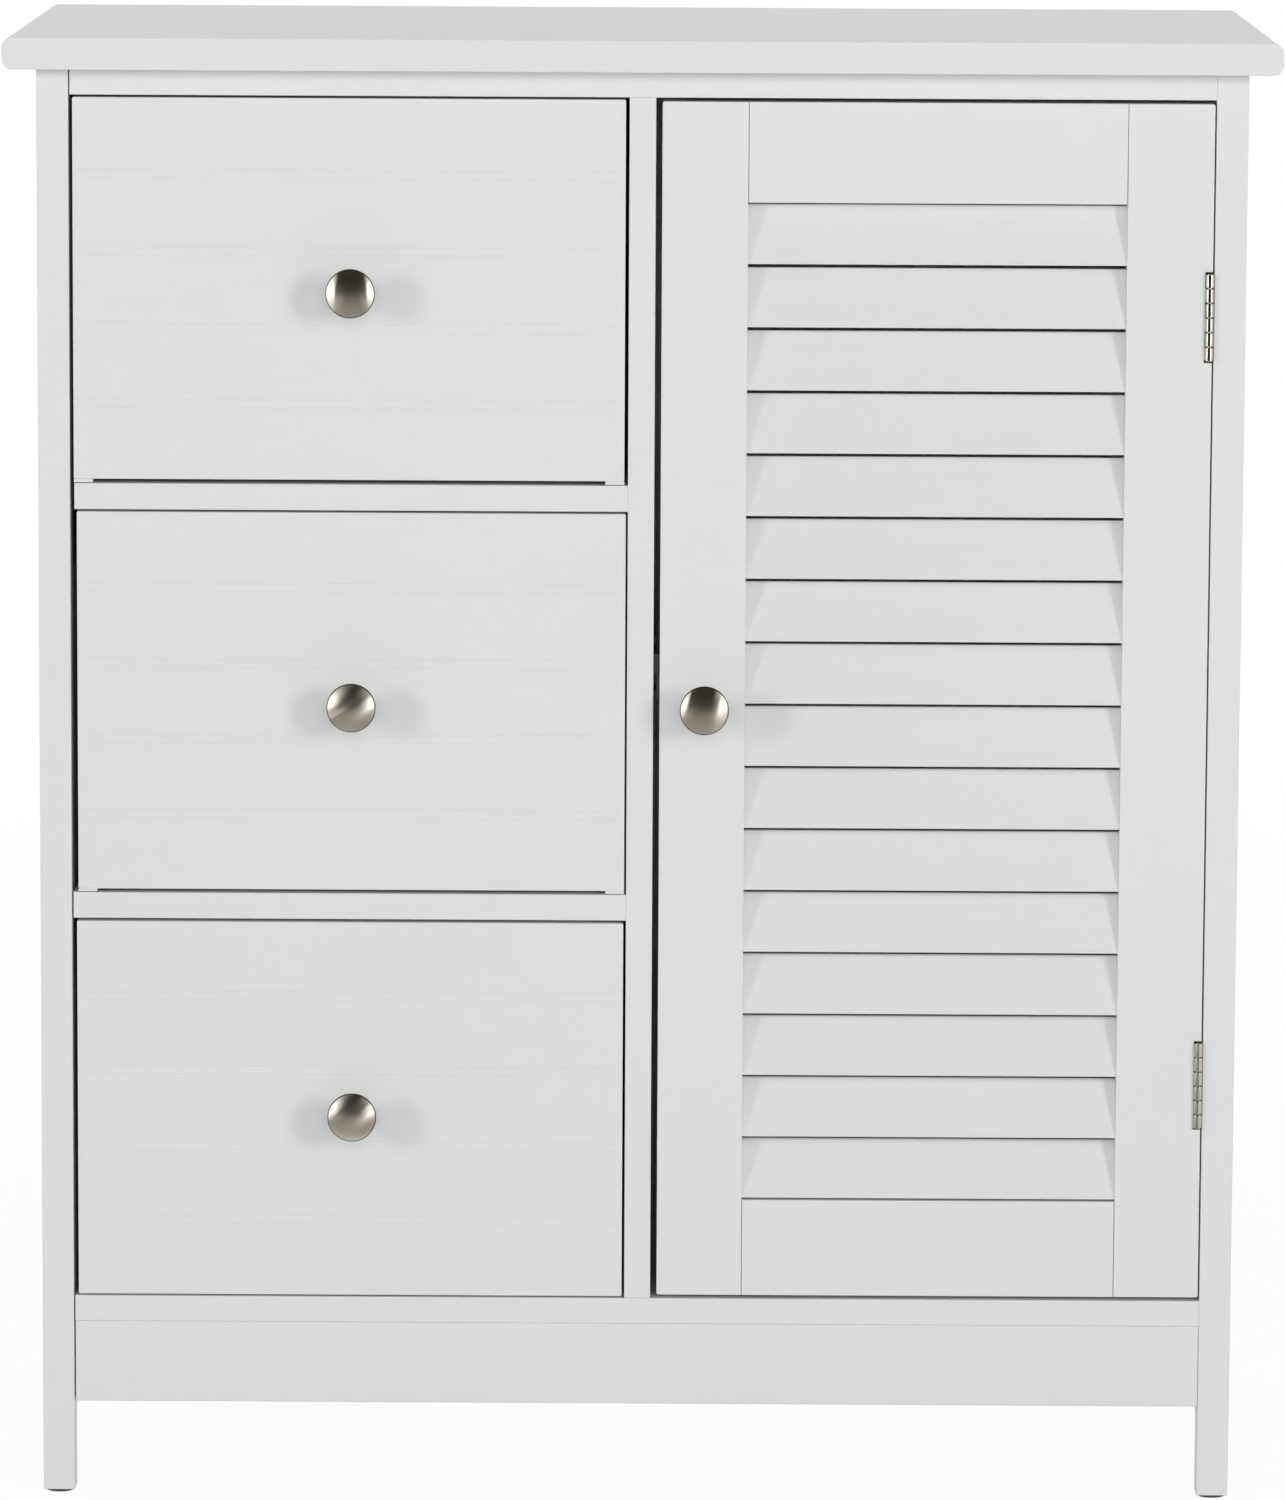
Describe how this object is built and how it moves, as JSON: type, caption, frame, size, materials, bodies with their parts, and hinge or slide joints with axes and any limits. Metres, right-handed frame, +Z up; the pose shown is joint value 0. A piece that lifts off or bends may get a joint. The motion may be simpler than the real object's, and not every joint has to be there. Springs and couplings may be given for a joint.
{
  "type": "louvred door cabinet",
  "caption": "Floor-standing cabinet of white painted board: drawers on the left, a louvred door on the right, an overhanging top, a recessed plinth and side panels that end as short legs.",
  "frame": {"origin": "on the floor, in the middle of the overall width and of the overall depth with the knobs", "axes": "+X to the right as seen from the front, +Y to the back, +Z up; the drawers slide out and the door opens towards -Y"},
  "size_m": [0.6, 0.31, 0.7],
  "materials": {
    "painted_board": "white satin paint on fibreboard",
    "hardboard": "thin hardboard, white face inwards",
    "satin_nickel": "satin nickel, finely turned",
    "hinge_steel": "nickel plated",
    "zinc_steel": "bright zinc plated",
    "cam_zinc": "raw die-cast zinc",
    "beech": "bare beech",
    "white_plastic": "white moulded plastic",
    "ferrite": "sintered, matt"
  },
  "bodies": {
    "carcass": {"top_panel": "painted_board", "left_side_panel": "painted_board", "right_side_panel": "painted_board", "centre_divider": "painted_board", "top_front_rail": "painted_board", "top_back_rail": "painted_board", "bottom_board": "painted_board", "upper_drawer_shelf": "painted_board", "lower_drawer_shelf": "painted_board", "plinth_board": "painted_board", "back_panel": "hardboard", "door_bay_shelf": "painted_board", "shelf_pins": "zinc_steel", "foot_glides": "white_plastic", "magnetic_catch_case": "white_plastic", "catch_magnet": "ferrite", "upper_hinge_frame_leaf": "hinge_steel", "lower_hinge_frame_leaf": "hinge_steel", "hinge_pins": "hinge_steel", "carcass_small_screws": "zinc_steel", "cam_locks": "cam_zinc", "cam_bolts": "zinc_steel", "carcass_dowels": "beech", "back_panel_nails": "zinc_steel"},
    "upper_drawer": {"upper_drawer_front": "painted_board", "upper_drawer_left_side": "painted_board", "upper_drawer_right_side": "painted_board", "upper_drawer_back": "painted_board", "upper_drawer_bottom": "hardboard", "upper_drawer_knob": "satin_nickel", "upper_drawer_knob_screw": "zinc_steel", "upper_drawer_dowels": "beech"},
    "middle_drawer": {"middle_drawer_front": "painted_board", "middle_drawer_left_side": "painted_board", "middle_drawer_right_side": "painted_board", "middle_drawer_back": "painted_board", "middle_drawer_bottom": "hardboard", "middle_drawer_knob": "satin_nickel", "middle_drawer_knob_screw": "zinc_steel", "middle_drawer_dowels": "beech"},
    "lower_drawer": {"lower_drawer_front": "painted_board", "lower_drawer_left_side": "painted_board", "lower_drawer_right_side": "painted_board", "lower_drawer_back": "painted_board", "lower_drawer_bottom": "hardboard", "lower_drawer_knob": "satin_nickel", "lower_drawer_knob_screw": "zinc_steel", "lower_drawer_dowels": "beech"},
    "door": {"door_left_stile": "painted_board", "door_right_stile": "painted_board", "door_top_rail": "painted_board", "door_bottom_rail": "painted_board", "louvre_slats": "painted_board", "door_knob": "satin_nickel", "door_knob_screw": "zinc_steel", "upper_hinge_door_leaf": "hinge_steel", "lower_hinge_door_leaf": "hinge_steel", "door_small_screws": "zinc_steel", "catch_strike_plate": "zinc_steel", "door_dowels": "beech"}
  },
  "joints": [
    {"name": "upper_drawer_slide", "type": "slide", "parent": "carcass", "child": "upper_drawer", "axis": [0, -1, 0], "range_m": [0, 0.2]},
    {"name": "middle_drawer_slide", "type": "slide", "parent": "carcass", "child": "middle_drawer", "axis": [0, -1, 0], "range_m": [0, 0.2]},
    {"name": "lower_drawer_slide", "type": "slide", "parent": "carcass", "child": "lower_drawer", "axis": [0, -1, 0], "range_m": [0, 0.2]},
    {"name": "door_hinge", "type": "hinge", "parent": "carcass", "child": "door", "pos_m": [0.2678, -0.131, 0.385], "axis": [0, 0, 1], "range_deg": [0, 180]}
  ]
}
